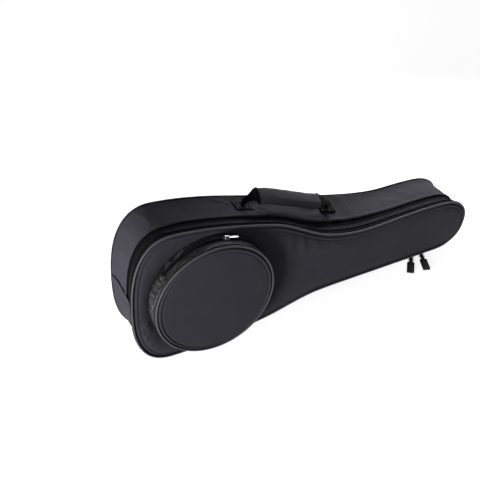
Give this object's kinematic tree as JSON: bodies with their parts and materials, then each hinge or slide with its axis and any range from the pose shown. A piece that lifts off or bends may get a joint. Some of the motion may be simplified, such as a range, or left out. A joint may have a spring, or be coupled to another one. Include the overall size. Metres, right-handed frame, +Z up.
{
  "type": "ukulele gig bag",
  "caption": "Padded fabric ukulele gig bag with a round zipped pocket, a padded carry handle and a long zip with hanging pulls, stood on its long side.",
  "frame": {"origin": "middle of the flat on the bag's long side where the lower bout rests on the floor", "axes": "+X from the tail towards the head, +Y from the front panel towards the back panel, +Z up from the floor"},
  "size_m": [0.6597, 0.1345, 0.242],
  "materials": {
    "oxford_cover": "black oxford cloth with a fine weave and a faint sheen",
    "padding": null,
    "lining": "plain dark lining cloth",
    "piping": "black bound piping",
    "zip_tape": "black woven tape",
    "zip_coil": "black nylon coil",
    "webbing": "black woven webbing",
    "pull_grip": "black moulded plastic",
    "zip_metal": "bright nickel plate"
  },
  "bodies": {
    "bag": {"back_panel": "oxford_cover", "back_foam": "padding", "back_lining": "lining", "back_piping": "piping", "gusset": "oxford_cover", "gusset_foam": "padding", "gusset_lining": "lining", "hinge_gusset": "oxford_cover", "hinge_gusset_foam": "padding", "hinge_gusset_lining": "lining", "back_zip_tape": "zip_tape", "back_zip_coil": "zip_coil", "tail_zip_stop": "zip_metal", "waist_zip_stop": "zip_metal", "tail_handle_patch": "webbing", "head_handle_patch": "webbing"},
    "lid": {"front_panel": "oxford_cover", "front_foam": "padding", "front_lining": "lining", "front_piping": "piping", "hinge_strip": "oxford_cover", "front_zip_tape": "zip_tape", "front_zip_coil": "zip_coil", "pocket_gusset": "oxford_cover", "pocket_tape_base": "zip_tape", "pocket_coil_base": "zip_coil", "pocket_piping": "piping", "pocket_front": "oxford_cover", "pocket_pad": "padding", "pocket_lining": "lining"},
    "pocket_flap": {"pocket_coil_flap": "zip_coil", "pocket_tape_flap": "zip_tape", "pocket_flap_piping": "piping", "pocket_flap_front": "oxford_cover", "pocket_flap_pad": "padding", "pocket_flap_lining": "lining"},
    "pocket_slider": {"pocket_slider": "zip_metal"},
    "pocket_pull": {"pocket_pull": "zip_metal"},
    "handle": {"handle_strap": "webbing", "handle_wrap": "oxford_cover"},
    "tail_slider": {"tail_slider": "zip_metal"},
    "tail_link": {"tail_pull_link": "zip_metal"},
    "tail_grip": {"tail_pull_grip": "pull_grip"},
    "head_slider": {"head_slider": "zip_metal"},
    "head_link": {"head_pull_link": "zip_metal"},
    "head_grip": {"head_pull_grip": "pull_grip"}
  },
  "joints": [
    {"name": "lid_hinge", "type": "hinge", "parent": "bag", "child": "lid", "pos_m": [-0.13916, -0.03, 0.01289], "axis": [0.9907, 0, -0.1361], "range_deg": [0, 110]},
    {"name": "pocket_flap_hinge", "type": "hinge", "parent": "lid", "child": "pocket_flap", "pos_m": [0.01066, -0.0774, 0.1776], "axis": [0.9907, 0, -0.1361], "range_deg": [0, 70]},
    {"name": "pocket_slider_run", "type": "hinge", "parent": "pocket_flap", "child": "pocket_slider", "pos_m": [0.00228, -0.058, 0.11661], "axis": [0, 1, 0], "range_deg": [-56, 36]},
    {"name": "pocket_pull_swing", "type": "hinge", "parent": "pocket_slider", "child": "pocket_pull", "pos_m": [0.03374, -0.058, 0.21447], "axis": [0, -1, 0], "range_deg": [0, 120]},
    {"name": "handle_swing", "type": "hinge", "parent": "bag", "child": "handle", "pos_m": [0.10177, 0.01683, 0.20564], "axis": [-0.9345, 0.0117, 0.3557], "range_deg": [-25, 65]},
    {"name": "tail_slider_run", "type": "slide", "parent": "lid", "child": "tail_slider", "axis": [-0.9976, 0, 0.0687], "range_m": [0, 0.15]},
    {"name": "tail_link_swing", "type": "hinge", "parent": "tail_slider", "child": "tail_link", "pos_m": [0.42594, -0.02959, 0.0039], "axis": [0.766, -0.6428, 0], "range_deg": [0, 90]},
    {"name": "tail_grip_swing", "type": "hinge", "parent": "tail_link", "child": "tail_grip", "pos_m": [0.40858, -0.05027, 0.0015], "axis": [0.766, -0.6428, 0], "range_deg": [-10, 60]},
    {"name": "head_slider_run", "type": "slide", "parent": "lid", "child": "head_slider", "axis": [0.9976, 0, -0.0687], "range_m": [0, 0.012]},
    {"name": "head_link_swing", "type": "hinge", "parent": "head_slider", "child": "head_link", "pos_m": [0.4438, -0.02959, 0.00267], "axis": [0.9063, -0.4226, 0], "range_deg": [0, 90]},
    {"name": "head_grip_swing", "type": "hinge", "parent": "head_link", "child": "head_grip", "pos_m": [0.43239, -0.05406, 0.0015], "axis": [0.9063, -0.4226, 0], "range_deg": [-10, 60]}
  ]
}
